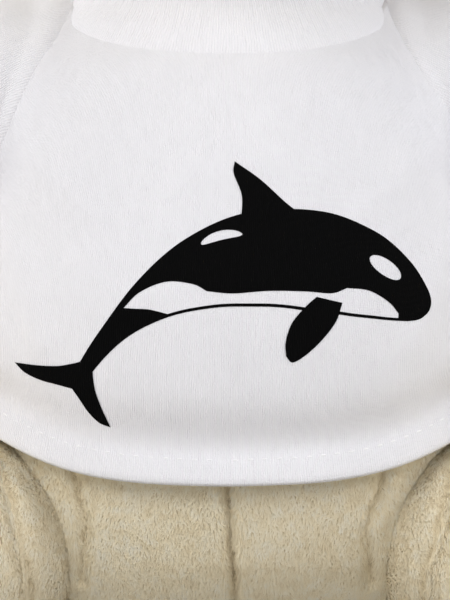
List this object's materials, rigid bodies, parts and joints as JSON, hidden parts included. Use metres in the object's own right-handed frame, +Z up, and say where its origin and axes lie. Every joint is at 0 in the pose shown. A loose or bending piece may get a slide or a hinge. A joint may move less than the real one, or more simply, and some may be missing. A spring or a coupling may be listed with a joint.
{
  "type": "plush bear in a printed t-shirt",
  "caption": "Seated soft plush bear with stitched-on limbs and plastic eyes and nose, dressed in a white short-sleeved cotton jersey T-shirt with a black orca figure on the front.",
  "frame": {"origin": "middle of the flat seat under the torso, on the surface that the bear sits on", "axes": "+Z up, the bear faces -Y, and its own left side is +X"},
  "size_m": [0.193, 0.1472, 0.2224],
  "materials": {
    "plush": "short-pile beige plush, matte, lying downwards",
    "jersey": "white single-jersey cotton, fine upright wales, matte",
    "sole_cloth": "tan brushed suede cloth, matte",
    "dark_plastic": "black moulded plastic, glossy"
  },
  "bodies": {
    "root": {"torso": "plush", "head": "plush", "muzzle": "plush", "tail": "plush", "ear_left": "plush", "ear_right": "plush", "arm_left": "plush", "arm_right": "plush", "leg_left": "plush", "leg_right": "plush", "sole_left": "sole_cloth", "sole_right": "sole_cloth", "nose": "dark_plastic", "eye_left": "dark_plastic", "eye_right": "dark_plastic", "shirt_body": "jersey", "sleeve_left": "jersey", "sleeve_right": "jersey", "neckband": "jersey"}
  },
  "joints": []
}
